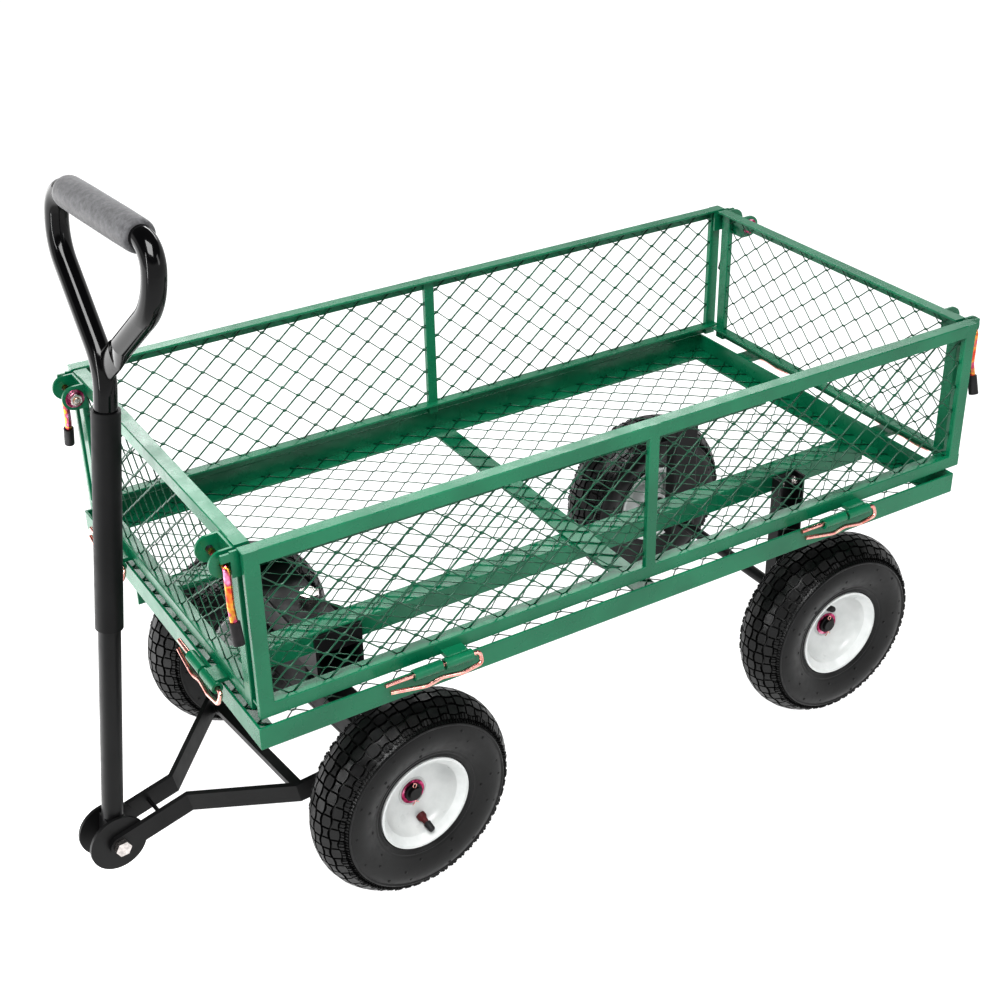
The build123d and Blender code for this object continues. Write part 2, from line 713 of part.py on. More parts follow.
def rim():
    """Pressed steel rim, outer side towards +Y: barrel with flared flanges, deep bowl and hub tube."""
    wall = rim_wall
    flange = rim_flange_radius
    barrel = rim_barrel_radius
    inside = barrel - wall
    half = rim_width / 2
    slope = half - wall - rim_flare
    skew = wall / sqrt(2)
    knee = bowl_knee_radius
    brim = bowl_floor + bowl_rise
    with BuildSketch(Plane.XY) as section:
        with BuildLine():
            a = Polyline((0, bowl_floor - 1), (hub_radius, bowl_floor - 1), (knee, bowl_floor))
            b = ThreePointArc(a @ 1, (inside - bowl_rise / 3, bowl_floor + bowl_rise * 0.36), (inside, brim))
            c = Polyline(b @ 1, (barrel - skew, slope + skew), (flange - wall, half), (flange, half),
                         (flange, half - wall), (barrel + rim_flare, half - wall), (barrel, slope),
                         (barrel, -slope), (barrel + rim_flare, wall - half), (flange, wall - half),
                         (flange, -half), (flange - wall, -half), (barrel - skew, -slope - skew),
                         (inside, -slope), (inside, brim - 2 * wall - 2))
            d = ThreePointArc(c @ 1, (inside - bowl_rise / 3 + 1, bowl_floor + bowl_rise * 0.36 - wall - 1),
                              (knee, bowl_floor - wall))
            Polyline(d @ 1, (hub_radius, bowl_floor - wall - 1), (0, bowl_floor - wall - 1), a @ 0)
        make_face()
        with Locations((hub_radius / 2, (hub_outer_reach - hub_inner_reach) / 2)):
            Rectangle(hub_radius, hub_outer_reach + hub_inner_reach)
    bore = rod_y(axle_diameter / 2 + axle_running_gap, -hub_inner_reach - 1, half, 0, 0)
    return revolve(section.sketch, Axis.Y, 360) - bore


# ---- assembly -----------------------------------------------------------------------
def wheel_nodes(end, x):
    place = Pos(x, wheel_y, axle_z)
    shapes = {"tyre": place * tyre(), "rim": place * rim()}
    nodes = {}
    for name, shape in shapes.items():
        nodes[end + "_left_" + name] = [shape]
        nodes[end + "_right_" + name] = [mirror_y(shape)]
    return nodes


def steered_nodes():
    """Everything that turns with the front axle, turned to where it stands."""
    nodes = {}
    nodes["turntable_plate"] = [turntable_plate()]
    nodes["steering_post"] = [steering_post()]
    nodes["front_axle_beam"] = [front_axle_beam()]
    nodes["front_left_leg"] = [front_axle_leg()]
    nodes["front_right_leg"] = [mirror_y(front_axle_leg())]
    nodes["front_axle_rod"] = [axle_rod(front_axle_x)]
    nodes["drawbar_left_bar"] = [drawbar_bar()]
    nodes["drawbar_right_bar"] = [mirror_y(drawbar_bar())]
    nodes["drawbar_cross_bar"] = [drawbar_cross_bar()]
    nodes["drawbar_tie_rod"] = [drawbar_tie_rod()]
    nodes["clevis_discs"] = both_sides(clevis_disc())
    nodes["clevis_bolt"] = [clevis_bolt()]

    nodes["handle_lower_tube"] = [handle_lower_tube()]
    nodes["handle_sleeve"] = [handle_sleeve()]
    nodes["handle_loop"] = [handle_loop()]
    nodes["handle_grip"] = [handle_grip()]

    nodes.update(wheel_nodes("front", front_axle_x))
    turn = Pos(king_bolt_x, 0, 0) * Rot(0, 0, rest_steer) * Pos(-king_bolt_x, 0, 0)
    return {name: [turn * shape for shape in shapes] for name, shapes in nodes.items()}


def fixed_nodes():
    """The tray, the panels, the rear axle and its wheels."""
    nodes = {}
    nodes["tray_frame"] = [tray_frame()]
    nodes["floor_mesh"] = [floor_mesh()]
    nodes["left_floor_beam"] = [floor_beam()]
    nodes["right_floor_beam"] = [mirror_y(floor_beam())]
    nodes["cross_member"] = [cross_member()]
    nodes["rear_left_leg"] = [rear_leg()]
    nodes["rear_right_leg"] = [mirror_y(rear_leg())]
    nodes["rear_axle_rod"] = [axle_rod(rear_axle_x)]
    nodes["front_bolster"] = [front_bolster()]
    nodes["king_bolt"] = [king_bolt()]

    left_frame = side_panel_frame()
    left_mesh = side_panel_mesh()
    nodes["left_panel_frame"] = [left_frame]
    nodes["left_panel_mesh"] = left_mesh
    nodes["right_panel_frame"] = [mirror_y(left_frame)]
    nodes["right_panel_mesh"] = [mirror_y(sheet) for sheet in left_mesh]

    front_frame = front_panel_frame()
    front_mesh = front_panel_mesh()
    nodes["front_panel_frame"] = [front_frame]
    nodes["front_panel_mesh"] = front_mesh
    nodes["rear_panel_frame"] = [to_rear(front_frame)]
    nodes["rear_panel_mesh"] = [to_rear(sheet) for sheet in front_mesh]

    latch = {"brackets": latch_bracket(), "pins": latch_pin(), "tips": latch_tip()}
    for name, shape in latch.items():
        nodes["front_latch_" + name] = both_sides(shape)
        nodes["rear_latch_" + name] = both_sides(to_rear(shape))

    side_reach = half_width + hinge_offset - tray_half_width
    front_reach = half_length + hinge_offset - tray_front
    rear_reach = half_length + hinge_offset + tray_rear
    side_tubes = [place * panel_hinge_tube() for place in side_hinge_places()]
    end_tubes = [place * panel_hinge_tube() for place in end_hinge_places()]
    nodes["left_panel_hinges"] = side_tubes
    nodes["right_panel_hinges"] = [mirror_y(tube) for tube in side_tubes]
    nodes["front_panel_hinges"] = end_tubes
    nodes["rear_panel_hinges"] = [to_rear(tube) for tube in end_tubes]
    tray_tubes = []
    wires = []
    for place in side_hinge_places():
        tray_tubes += both_sides(place * tray_hinge_tube(side_reach))
        wires += both_sides(place * wire_pin())
    for place in end_hinge_places():
        tray_tubes.append(place * tray_hinge_tube(front_reach))
        tray_tubes.append(to_rear(place * tray_hinge_tube(rear_reach)))
        wires += [place * wire_pin(), to_rear(place * wire_pin())]
    nodes["tray_hinges"] = tray_tubes
    nodes["hinge_wire_pins"] = wires

    nodes.update(wheel_nodes("rear", rear_axle_x))
    return nodes


def middle_of(nodes):
    """Middle of the whole cart along X."""
    boxes = [shape.bounding_box() for shapes in nodes.values() for shape in shapes]
    return (min(box.min.X for box in boxes) + max(box.max.X for box in boxes)) / 2


def main():
    os.makedirs("parts", exist_ok=True)
    nodes = {**fixed_nodes(), **steered_nodes()}
    shift = middle_of(nodes)
    for name, shapes in nodes.items():
        moved = [Pos(-shift, 0, 0) * shape for shape in shapes]
        solids = [solid for shape in moved for solid in shape.solids()]
        whole = solids[0] if len(solids) == 1 else Compound(children=solids)
        export_step(whole, "parts/" + name + ".step")
    print("origin is", round(shift, 3), "mm ahead of the panels' middle")


main()
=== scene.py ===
import json
import math
import random

import bmesh
import bpy
from mathutils import Matrix, Vector


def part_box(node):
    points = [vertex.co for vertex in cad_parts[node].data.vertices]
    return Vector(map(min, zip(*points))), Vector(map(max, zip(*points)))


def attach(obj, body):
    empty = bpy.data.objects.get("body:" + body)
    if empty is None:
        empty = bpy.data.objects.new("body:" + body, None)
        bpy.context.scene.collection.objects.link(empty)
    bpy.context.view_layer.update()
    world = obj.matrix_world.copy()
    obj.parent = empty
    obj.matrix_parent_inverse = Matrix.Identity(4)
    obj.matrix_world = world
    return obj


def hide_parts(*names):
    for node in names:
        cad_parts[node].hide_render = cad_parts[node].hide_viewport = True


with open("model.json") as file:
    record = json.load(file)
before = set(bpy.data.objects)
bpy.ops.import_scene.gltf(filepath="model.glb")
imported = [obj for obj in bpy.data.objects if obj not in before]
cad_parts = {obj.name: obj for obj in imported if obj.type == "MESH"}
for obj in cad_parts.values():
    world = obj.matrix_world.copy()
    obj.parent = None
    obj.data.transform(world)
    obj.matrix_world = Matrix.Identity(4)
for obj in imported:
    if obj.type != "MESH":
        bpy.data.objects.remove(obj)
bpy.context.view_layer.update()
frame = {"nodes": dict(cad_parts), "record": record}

nodes = frame["nodes"]
record = frame["record"]
joints = {joint["name"]: joint for joint in record["behaviour"]["joints"]}
mm = 0.001


# helpers for colours and nodes

def hexColour(text):
    parts = [int(text[i:i + 2], 16) / 255 for i in (1, 3, 5)]
    return [p / 12.92 if p <= 0.04045 else ((p + 0.055) / 1.055) ** 2.4 for p in parts] + [1.0]


def addNode(tree, kind, links=None, inputs=None, **settings):
    node = tree.nodes.new(kind)
    for name, value in settings.items():
        setattr(node, name, value)
    for name, value in (inputs or {}).items():
        node.inputs[name].default_value = value
    for name, source in (links or {}).items():
        tree.links.new(source, node.inputs[name])
    return node


def startMaterial(name, **values):
    mat = bpy.data.materials.new(name)
    mat.use_nodes = True
    tree = mat.node_tree
    shader = tree.nodes["Principled BSDF"]
    for socket, value in values.items():
        shader.inputs[socket.replace("_", " ")].default_value = value
    return mat, tree, shader


def rampStops(ramp, stops):
    # the ramp starts with two stops; more are added, then all are set
    while len(ramp.elements) < len(stops):
        ramp.elements.new(0.5)
    for element, (place, colour) in zip(ramp.elements, stops):
        element.position = place
        element.color = hexColour(colour)


def noiseAt(tree, sizeMm, detail=2.0, rough=0.5):
    # noise on object coordinates, one blob to sizeMm millimetres
    coords = addNode(tree, "ShaderNodeTexCoord")
    return addNode(tree, "ShaderNodeTexNoise", {"Vector": coords.outputs["Object"]},
                   {"Scale": 1 / (sizeMm * mm), "Detail": detail, "Roughness": rough})


def tint(tree, shader, noise, low, high, start=0.35, end=0.65):
    ramp = addNode(tree, "ShaderNodeValToRGB", {"Fac": noise.outputs["Fac"]})
    rampStops(ramp.color_ramp, [(start, low), (end, high)])
    tree.links.new(ramp.outputs["Color"], shader.inputs["Base Color"])


def roughen(tree, shader, noise, low, high):
    spread = addNode(tree, "ShaderNodeMapRange", {"Value": noise.outputs["Fac"]},
                     {"From Min": 0.3, "From Max": 0.7, "To Min": low, "To Max": high})
    tree.links.new(spread.outputs["Result"], shader.inputs["Roughness"])


def emboss(tree, shader, source, depthMm, strength=1.0):
    bump = addNode(tree, "ShaderNodeBump", {"Height": source},
                   {"Strength": strength, "Distance": depthMm * mm})
    tree.links.new(bump.outputs["Normal"], shader.inputs["Normal"])


# materials, each named for the real finish

def makeGreenEnamel(name, low, high, rough):
    # stoved green enamel on rolled steel: deep colour under a glossy skin with a faint orange peel
    mat, tree, shader = startMaterial(name, IOR=1.5)
    tint(tree, shader, noiseAt(tree, 90, 3), low, high)
    roughen(tree, shader, noiseAt(tree, 25, 4), rough - 0.05, rough + 0.07)
    peel = noiseAt(tree, 2.4, 1)        # real peel is nearer 1 mm, drawn coarser so that it shows
    emboss(tree, shader, peel.outputs["Fac"], 0.04, 0.4)
    return mat


def makeGlossBlack():
    # gloss black stoved enamel on bent tube: near black with sharp long highlights
    mat, tree, shader = startMaterial("glossBlackEnamel", IOR=1.5, Specular_IOR_Level=0.3)
    tint(tree, shader, noiseAt(tree, 60, 2), "#030304", "#070708")
    roughen(tree, shader, noiseAt(tree, 30, 3), 0.08, 0.13)
    emboss(tree, shader, noiseAt(tree, 3, 1).outputs["Fac"], 0.03, 0.3)
    return mat


def makeSatinBlack():
    # satin black powder coat on flat bar: charcoal grey where it is lit, fine even grain
    mat, tree, shader = startMaterial("satinBlackPowderCoat", IOR=1.5, Specular_IOR_Level=0.3)
    tint(tree, shader, noiseAt(tree, 70, 3), "#0a0a0b", "#111112")
    roughen(tree, shader, noiseAt(tree, 20, 4), 0.34, 0.46)
    emboss(tree, shader, noiseAt(tree, 1.4, 2).outputs["Fac"], 0.08, 0.5)
    return mat


def makeSleeveBlack():
    # matte black textured coat on the sleeve of the handle
    mat, tree, shader = startMaterial("mattBlackTexturedCoat", IOR=1.48, Specular_IOR_Level=0.25)
    tint(tree, shader, noiseAt(tree, 50, 3), "#0a0a0b", "#101011")
    roughen(tree, shader, noiseAt(tree, 12, 3), 0.42, 0.52)
    emboss(tree, shader, noiseAt(tree, 1.2, 2).outputs["Fac"], 0.12, 0.6)
    return mat


def makeFoam():
    # closed-cell foam grip: mottled grey, soft sheen, fine pores
    poreMm = 1.1
    mat, tree, shader = startMaterial("closedCellFoam", IOR=1.45, Specular_IOR_Level=0.3, Sheen_Weight=0.3,
                                      Sheen_Roughness=0.5)
    tint(tree, shader, noiseAt(tree, 6, 6, 0.7), "#363638", "#5e5e60", 0.3, 0.7)
    shader.inputs["Roughness"].default_value = 0.8
    coords = addNode(tree, "ShaderNodeTexCoord")
    pores = addNode(tree, "ShaderNodeTexVoronoi", {"Vector": coords.outputs["Object"]},
                    {"Scale": 1 / (poreMm * mm)})
    emboss(tree, shader, pores.outputs["Distance"], 0.15, 0.5)
    return mat


def makeRimEnamel():
    # off-white enamel on a pressed steel rim, with a faint grey handling film
    mat, tree, shader = startMaterial("offWhiteEnamel", IOR=1.5, Coat_Weight=0.2, Coat_Roughness=0.15)
    tint(tree, shader, noiseAt(tree, 35, 4, 0.6), "#c3c6c5", "#d2d4d3")
    roughen(tree, shader, noiseAt(tree, 18, 4), 0.26, 0.4)
    emboss(tree, shader, noiseAt(tree, 2.5, 1).outputs["Fac"], 0.05, 0.4)
    return mat


def makeTyreRubber():
    # vulcanised black rubber from the mould: charcoal bloom, satin, fine grain
    mat, tree, shader = startMaterial("mouldedTyreRubber", IOR=1.52, Specular_IOR_Level=0.36)
    tint(tree, shader, noiseAt(tree, 26, 5, 0.6), "#040404", "#0c0c0d")
    roughen(tree, shader, noiseAt(tree, 9, 4), 0.28, 0.46)
    emboss(tree, shader, noiseAt(tree, 1.6, 3).outputs["Fac"], 0.1, 0.5)
    return mat


def makeSoftRubber(name, low, high):
    # soft moulded rubber of caps and valve stems: flat, with a little grey bloom
    mat, tree, shader = startMaterial(name, IOR=1.5, Specular_IOR_Level=0.35)
    tint(tree, shader, noiseAt(tree, 8, 3), low, high)
    roughen(tree, shader, noiseAt(tree, 4, 3), 0.45, 0.6)
    emboss(tree, shader, noiseAt(tree, 1, 2).outputs["Fac"], 0.08, 0.5)
    return mat


def makePassivatedZinc(name, sizeMm, *stops):
    # passivated zinc plate: interference bands of gold, copper and rose that drift over the metal
    mat, tree, shader = startMaterial(name, Metallic=1.0)
    noise = noiseAt(tree, sizeMm, 2, 0.5)
    ramp = addNode(tree, "ShaderNodeValToRGB", {"Fac": noise.outputs["Fac"]})
    rampStops(ramp.color_ramp, list(stops))
    tree.links.new(ramp.outputs["Color"], shader.inputs["Base Color"])
    roughen(tree, shader, noiseAt(tree, 5, 3), 0.18, 0.3)
    emboss(tree, shader, noiseAt(tree, 1.2, 2).outputs["Fac"], 0.03, 0.4)
    return mat


def makeBrightZinc():
    # bright zinc plate on nuts and bolts: cool grey with a cloudy spangle
    mat, tree, shader = startMaterial("brightZincPlate", Metallic=1.0)
    tint(tree, shader, noiseAt(tree, 5, 3), "#b9b4b2", "#e6dfdc")
    roughen(tree, shader, noiseAt(tree, 3, 3), 0.2, 0.34)
    emboss(tree, shader, noiseAt(tree, 0.8, 2).outputs["Fac"], 0.03, 0.4)
    return mat


greenEnamel = makeGreenEnamel("stovedGreenEnamel", "#035f41", "#066e4c", 0.27)
meshEnamel = makeGreenEnamel("greenEnamelOnMesh", "#02402a", "#045137", 0.33)
glossBlack = makeGlossBlack()
satinBlack = makeSatinBlack()
sleeveBlack = makeSleeveBlack()
foam = makeFoam()
rimEnamel = makeRimEnamel()
tyreRubber = makeTyreRubber()
# near-black rubber on the vent spots: painted shade, darker than the tyre's own rubber
ventPaintedShadeRubber = makeSoftRubber("ventPaintedShadeRubber", "#020202", "#060606")
softRubber = makeSoftRubber("softMouldedRubber", "#121113", "#1d1b1d")
valveRubber = makeSoftRubber("oxbloodRubber", "#3c060c", "#5a0a12")
copperZinc = makePassivatedZinc("copperPassivatedZinc", 14, (0.3, "#d98c80"), (0.45, "#f2bfb4"),
                                (0.6, "#eaa29c"), (0.72, "#f6d2bb"))
rainbowZinc = makePassivatedZinc("rainbowPassivatedZinc", 16, (0.32, "#8f2c5c"), (0.42, "#d4543c"),
                                 (0.5, "#dfa548"), (0.59, "#c2476a"), (0.7, "#e9a8cc"))
roseZinc = makePassivatedZinc("rosePassivatedZinc", 9, (0.35, "#7a1c40"), (0.5, "#b0406c"),
                              (0.65, "#e0a0b8"))
brightZinc = makeBrightZinc()
slotMaterials = {"green_paint": greenEnamel, "black_paint": satinBlack, "rim_paint": rimEnamel,
                 "zinc_steel": brightZinc, "yellow_zinc": rainbowZinc, "tyre_rubber": tyreRubber,
                 "soft_rubber": softRubber, "foam_grip": foam}
ownMaterials = {"handle_loop": glossBlack, "handle_sleeve": sleeveBlack, "hinge_wire_pins": copperZinc}
for part in record["subparts"]:
    slots = nodes[part["node"]].data.materials
    slots.clear()
    slots.append(ownMaterials.get(part["node"], slotMaterials[part["material_slot"]]))
print("materials done")


# helpers for modelling

def clearSelection():
    bpy.ops.object.select_all(action="DESELECT")
    bpy.context.view_layer.objects.active = None


def makeActive(piece):
    clearSelection()
    piece.select_set(True)
    bpy.context.view_layer.objects.active = piece


def startPiece(name, adder, **settings):
    clearSelection()
    adder(**settings)
    piece = bpy.context.object
    piece.name = name
    piece.data.name = name
    return piece


def pickFaces(piece, test):
    # in edit mode: select only the faces that pass the test
    bpy.ops.mesh.select_mode(type="FACE")
    mesh = bmesh.from_edit_mesh(piece.data)
    for face in mesh.faces:
        face.select_set(bool(test(face)))
    mesh.select_flush_mode()
    bmesh.update_edit_mesh(piece.data)


def fixPlace(piece):
    makeActive(piece)
    bpy.ops.object.transform_apply(location=True, rotation=True, scale=True)


def useModifier(piece, kind, **settings):
    makeActive(piece)
    mod = piece.modifiers.new(kind.lower(), kind)
    for name, value in settings.items():
        setattr(mod, name, value)
    bpy.ops.object.modifier_apply(modifier=mod.name)


def cleanShell(piece, gap=1e-5):
    makeActive(piece)
    bpy.ops.object.mode_set(mode="EDIT")
    bpy.ops.mesh.select_all(action="SELECT")
    bpy.ops.mesh.remove_doubles(threshold=gap)
    bpy.ops.mesh.delete_loose(use_verts=True, use_edges=True, use_faces=False)
    bpy.ops.mesh.select_all(action="SELECT")
    bpy.ops.mesh.normals_make_consistent(inside=False)
    bpy.ops.object.mode_set(mode="OBJECT")


def softEdges(piece, degrees=35):
    makeActive(piece)
    bpy.ops.object.shade_smooth_by_angle(angle=math.radians(degrees))


def copyAt(piece, name, *places):
    # one new piece made of a copy of the mesh at each place, its object at the origin
    copies = []
    for place in places:
        copy = bpy.data.objects.new(name, piece.data.copy())
        copy.data.transform(place)
        if place.determinant() < 0:
            copy.data.flip_normals()
        bpy.context.scene.collection.objects.link(copy)
        copies.append(copy)
    clearSelection()
    for copy in copies:
        copy.select_set(True)
    bpy.context.view_layer.objects.active = copies[0]
    if len(copies) > 1:
        bpy.ops.object.join()
    joined = bpy.context.object
    joined.name = name
    joined.data.name = name
    return joined


def joinPieces(name, pieces):
    clearSelection()
    for piece in pieces:
        piece.select_set(True)
    bpy.context.view_layer.objects.active = pieces[0]
    if len(pieces) > 1:
        bpy.ops.object.join()
    pieces[0].name = name
    pieces[0].data.name = name
    return pieces[0]


def finishPiece(piece, mat, body, slot, *replaced):
    if mat is not None:
        piece.data.materials.clear()
        piece.data.materials.append(mat)
    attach(piece, body)
    if replaced:
        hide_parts(*replaced)


def axesAt(origin, across, up):
    # a place whose Y runs along across and whose Z is as near up as that leaves
    y = Vector(across).normalized()
    x = y.cross(Vector(up)).normalized()
    z = x.cross(y)
    turned = Matrix((x, y, z)).transposed().to_4x4()
    return Matrix.Translation(Vector(origin)) @ turned


def spinOutline(name, outline, steps):
    # a closed outline of (along, radius) points in millimetres, spun about Y
    piece = startPiece(name, bpy.ops.mesh.primitive_circle_add, vertices=len(outline), radius=0.01)
    for vertex, (along, radius) in zip(piece.data.vertices, outline):
        vertex.co = (0, along * mm, radius * mm)
    bpy.ops.object.mode_set(mode="EDIT")
    bpy.ops.mesh.select_all(action="SELECT")
    bpy.ops.mesh.spin(steps=steps, angle=math.tau, center=(0, 0, 0), axis=(0, 1, 0))
    bpy.ops.object.mode_set(mode="OBJECT")
    cleanShell(piece)
    return piece


def bendWire(name, points, diameter):
    # round wire along points in millimetres, with capped ends
    clearSelection()
    bpy.ops.curve.primitive_nurbs_path_add()
    wire = bpy.context.object
    curve = wire.data
    curve.splines.clear()
    line = curve.splines.new("NURBS")
    line.points.add(len(points) - 1)
    for point, place in zip(line.points, points):
        point.co = (place[0] * mm, place[1] * mm, place[2] * mm, 1)
    line.order_u = 3
    line.use_endpoint_u = True
    curve.resolution_u = 4
    curve.bevel_depth = diameter / 2 * mm
    curve.bevel_resolution = 3
    curve.use_fill_caps = True
    bpy.ops.object.convert(target="MESH")
    wire = bpy.context.object
    wire.name = name
    cleanShell(wire, 1e-6)
    return wire


def middleOf(node):
    low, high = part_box(node)
    return (Vector(low) + Vector(high)) / 2


# expanded metal: a continuous lattice of diamond openings, cut to each frame's opening

latticeSizes = {"pitchLong": 42 * mm, "pitchShort": 33 * mm, "strandWidth": 1.5 * mm, "sheet": 1.3 * mm,
                "bondLength": 4.2 * mm, "lean": 0.42, "postHalf": 7.3 * mm}


def makeKnot():
    # one bond of the sheet with its four half strands, open where the next knot joins on
    s = latticeSizes
    knot = startPiece("knot", bpy.ops.mesh.primitive_cube_add, size=1,
                      scale=(s["bondLength"], 2 * s["strandWidth"], s["sheet"]))
    fixPlace(knot)
    bpy.ops.object.mode_set(mode="EDIT")
    bpy.ops.mesh.select_all(action="SELECT")
    bpy.ops.mesh.bisect(plane_co=(0, 0, 0), plane_no=(0, 1, 0))
    for sideX in (1, -1):
        for sideY in (1, -1):
            pickFaces(knot, lambda f: f.normal.x * sideX > 0.9 and f.calc_center_median().y * sideY > 0
                      and abs(f.calc_center_median().x) < s["bondLength"])
            move = (sideX * (s["pitchLong"] / 4 - s["bondLength"] / 2),
                    sideY * (s["pitchShort"] / 4 - s["strandWidth"] / 2), 0)
            bpy.ops.mesh.extrude_region_move(TRANSFORM_OT_translate={"value": move})
            bpy.ops.mesh.delete(type="FACE")
    bpy.ops.object.mode_set(mode="OBJECT")
    for vertex in knot.data.vertices:       # the slit sheet leans: each strand drops to the next bond
        bonded = abs(vertex.co.x) < s["bondLength"]
        nearest = 0 if bonded else math.copysign(s["pitchShort"] / 4, vertex.co.y)
        vertex.co.z += s["lean"] * (vertex.co.y - nearest)
    return knot


def cutTo(piece, low, high):
    # trim to a box in the piece's own plane, closing each cut
    makeActive(piece)
    bpy.ops.object.mode_set(mode="EDIT")
    for axis in (0, 1):
        for bound, sign in ((low[axis], -1), (high[axis], 1)):
            normal = [0, 0, 0]
            normal[axis] = sign
            point = [0, 0, 0]
            point[axis] = bound
            bpy.ops.mesh.select_all(action="SELECT")
            bpy.ops.mesh.bisect(plane_co=point, plane_no=normal, clear_outer=True, use_fill=True)
    bpy.ops.object.mode_set(mode="OBJECT")


def makeLattice(name, knot, length, height, split):
    # the whole sheet first, so that its diamonds line up on both sides of a middle post
    s = latticeSizes
    pair = copyAt(knot, name, Matrix.Identity(4),
                  Matrix.Translation((s["pitchLong"] / 2, s["pitchShort"] / 2, 0)))
    columns = math.ceil(length / s["pitchLong"]) + 2
    rows = math.ceil(height / s["pitchShort"]) + 2
    for count, step in ((columns, (s["pitchLong"], 0, 0)), (rows, (0, s["pitchShort"], 0))):
        useModifier(pair, "ARRAY", count=count, use_relative_offset=False, use_constant_offset=True,
                    constant_offset_displace=step)
    pair.data.transform(Matrix.Translation((-columns * s["pitchLong"] / 2 + s["pitchLong"] / 4,
                                            -rows * s["pitchShort"] / 2 + s["pitchShort"] / 4, 0)))
    cleanShell(pair, 0.05 * mm)
    if split:
        other = copyAt(pair, name, Matrix.Identity(4))
        cutTo(pair, (-length / 2, -height / 2), (-s["postHalf"], height / 2))
        cutTo(other, (s["postHalf"], -height / 2), (length / 2, height / 2))
        pair = joinPieces(name, [pair, other])
    else:
        cutTo(pair, (-length / 2, -height / 2), (length / 2, height / 2))
    makeActive(pair)
    bpy.ops.object.shade_smooth()
    return pair


def placeLattices():
    knot = makeKnot()
    turns = {"floor": Matrix.Identity(4),
             "left": Matrix.Rotation(math.radians(90), 4, "X"),
             "right": Matrix.Rotation(math.radians(90), 4, "X"),
             "front": Matrix.Rotation(math.radians(90), 4, "Z") @ Matrix.Rotation(math.radians(90), 4, "X"),
             "rear": Matrix.Rotation(math.radians(90), 4, "Z") @ Matrix.Rotation(math.radians(90), 4, "X")}
    for name, turn in turns.items():
        node = "floor_mesh" if name == "floor" else name + "_panel_mesh"
        low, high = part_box(node)
        size = [high[i] - low[i] for i in range(3)]
        spread = {"floor": (size[0], size[1]), "left": (size[0], size[2]), "right": (size[0], size[2]),
                  "front": (size[1], size[2]), "rear": (size[1], size[2])}[name]
        piece = makeLattice(name + "ExpandedMesh", knot, *spread, name in ("left", "right"))
        piece.data.transform(Matrix.Translation(middleOf(node)) @ turn)
        body = {"floor": "chassis", "front": "chassis"}.get(name, name + "_panel")
        finishPiece(piece, meshEnamel, body, "green_paint", node)
    bpy.data.objects.remove(knot)
    print("expanded mesh done")


placeLattices()


# tyres: carcass spun from its section, blocks and lugs raised from the tread

tyreSizes = {"blocksAround": 54, "facesPerBlock": 6, "rows": 3, "rowWidth": 11.6 * mm, "groove": 2.4 * mm,
             "depth": 4.0 * mm, "crownCentre": 87.7 * mm, "crownRadius": 41.3 * mm, "treadFrom": 100 * mm,
             "lugHeight": 3.6 * mm, "lugSpan": (29.7 * mm, 32.5 * mm), "lugFrom": 109 * mm,
             "finHeight": 1.2 * mm, "finSpan": (32.7 * mm, 36.7 * mm), "finFrom": 107.2 * mm,
             "wave": 1.7 * mm, "waveFade": 9 * mm, "ventRadius": 2.1}

# rings of vents on each wall: how many, their radius and their distance from the middle of the tyre
ventRings = ((15, 98, 40.2), (9, 87, 40.5), (11, 76, 37.1))


def tyreOutline():
    # from the middle of the tread to the bead, in millimetres: groove floor, shoulder, ring, wall, bead
    s = tyreSizes
    floorRadius = s["crownRadius"] - s["depth"]
    stops = []
    for row in range(s["rows"]):
        stops += [row * s["rowWidth"] + s["groove"] / 2, (row + 1) * s["rowWidth"] - s["groove"] / 2]
    half = [(0.0, (s["crownCentre"] + floorRadius) / mm)]
    for arc in stops:
        angle = arc / s["crownRadius"]
        half.append((floorRadius * math.sin(angle) / mm,
                     (s["crownCentre"] + floorRadius * math.cos(angle)) / mm))
    half += [(29.6, 112.6), (32.6, 110.0), (34.9, 108.4), (36.8, 107.4), (37.9, 107.2),
             (38.7, 106.2), (38.6, 105.0), (38.0, 104.2)]                               # ring
    half += [(39.8, 100), (40.9, 95), (40.9, 89), (39.8, 83), (37.6, 77), (35.4, 72.5), (34.9, 70.8),
             (34.0, 70.0), (33.6, 68.6), (34.0, 67.6)]                                  # wall
    half += [(33.4, 66.0), (31.9, 64.8), (31.2, 63.2), (31.7, 61.6), (31.0, 60.6), (29.9, 60.2),
             (29.6, 58.6), (22.6, 51.6)]                                                # bead
    return half + [(-along, radius) for along, radius in reversed(half[1:])]


def makeTyre():
    s = tyreSizes
    steps = s["blocksAround"] * s["facesPerBlock"]
    tyre = spinOutline("tyre", tyreOutline(), steps)
    raiseTread(tyre, steps)
    return tyre


def arcOf(point):
    # distance over the crown from its middle, for a point of the tyre
    s = tyreSizes
    radius = math.hypot(point[0], point[2])
    return math.atan2(point[1], radius - s["crownCentre"]) * s["crownRadius"]


def turnOf(point):
    return math.atan2(point[0], point[2]) % math.tau


